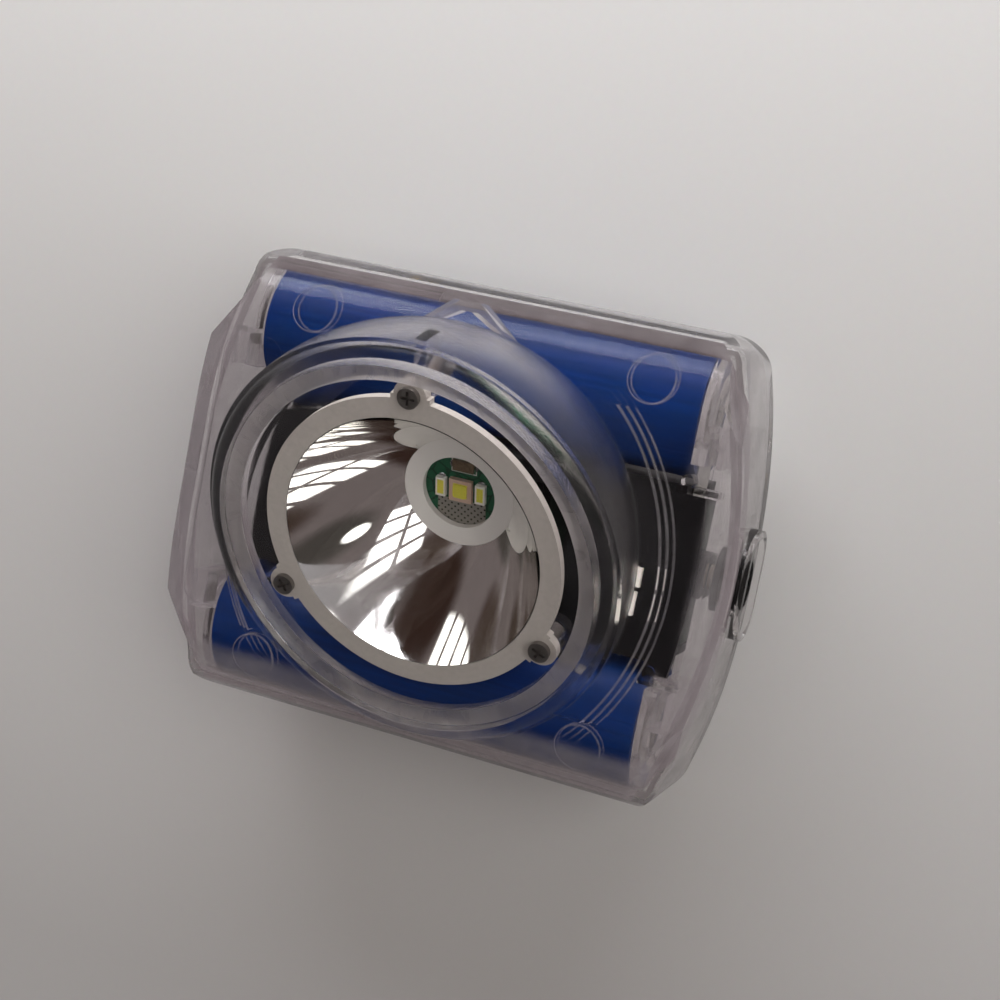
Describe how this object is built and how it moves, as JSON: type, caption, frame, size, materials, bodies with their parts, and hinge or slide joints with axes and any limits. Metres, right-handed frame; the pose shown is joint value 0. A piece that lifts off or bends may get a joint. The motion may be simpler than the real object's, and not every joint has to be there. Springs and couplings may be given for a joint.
{
  "type": "cap lamp",
  "caption": "Cordless miner's cap lamp: clear casing with blue cells, a tilted round reflector behind a flat window, an end push button and a helmet clip on the back.",
  "frame": {"origin": "centre of the casing's outline, on the back face of the helmet clip's plate, on which the lamp lies", "axes": "+X along the casing towards the button end, +Y towards the top of the lamp as worn, +Z out of the front"},
  "size_m": [0.0857, 0.067, 0.053],
  "materials": {
    "clear_plastic": "clear, lightly frosted on the dome",
    "window_plastic": "clear, polished",
    "gasket_rubber": "matt",
    "seal_foam": "matt",
    "mirror_coat": "vacuum coated, satin on the rim",
    "screw_steel": "plated",
    "green_board": "green solder mask",
    "lamp_package": "yellow phosphor in a pale package",
    "black_parts": "matt",
    "spreader_metal": "plain",
    "pad_rubber": "soft",
    "black_plastic": "matt",
    "cell_can": "plated steel can",
    "blue_sleeve": "shrunk film",
    "white_card": "matt",
    "strip_metal": "plain",
    "tan_plastic": "matt",
    "black_rubber": "matt",
    "red_wire": "insulated",
    "white_wire": "insulated",
    "yellow_wire": "insulated",
    "contact_brass": "plain",
    "clip_steel": "satin"
  },
  "bodies": {
    "lamp": {"front_shell": "clear_plastic", "rear_shell": "clear_plastic", "shell_gasket": "gasket_rubber", "window": "window_plastic", "window_seal": "seal_foam", "reflector": "mirror_coat", "reflector_screws": "screw_steel", "lamp_board": "green_board", "main_chip": "lamp_package", "side_chips": "lamp_package", "board_resistor": "black_parts", "heat_spreader": "spreader_metal", "thermal_pad": "pad_rubber", "inner_frame": "black_plastic", "upper_cell": "cell_can", "lower_cell": "cell_can", "cell_sleeves": "blue_sleeve", "cell_rings": "white_card", "positive_strip": "strip_metal", "negative_strip": "strip_metal", "left_spacer": "clear_plastic", "right_spacer": "clear_plastic", "control_board": "green_board", "control_parts": "black_parts", "status_chips": "lamp_package", "power_coil": "black_parts", "switch_board": "green_board", "switch_body": "black_plastic", "button_seal": "black_rubber", "battery_wires": "red_wire", "lamp_wires": "white_wire", "switch_wires": "yellow_wire", "charge_contacts": "contact_brass", "helmet_clip": "clip_steel", "clip_screws": "screw_steel", "clip_inserts": "contact_brass"},
    "button": {"button_cap": "black_rubber"},
    "plunger": {"switch_plunger": "tan_plastic"}
  },
  "joints": [
    {"name": "button_press", "type": "slide", "parent": "lamp", "child": "button", "axis": [-1, 0, 0], "range_m": [0, 0.00085], "stiffness_N_per_m": 1500, "springref_m": -0.0004},
    {"name": "plunger_press", "type": "slide", "parent": "lamp", "child": "plunger", "axis": [-1, 0, 0], "range_m": [0, 0.0006]}
  ],
  "couplings": [
    {"joint": "plunger_press", "follows": "button_press", "ratio": 0.70588}
  ]
}
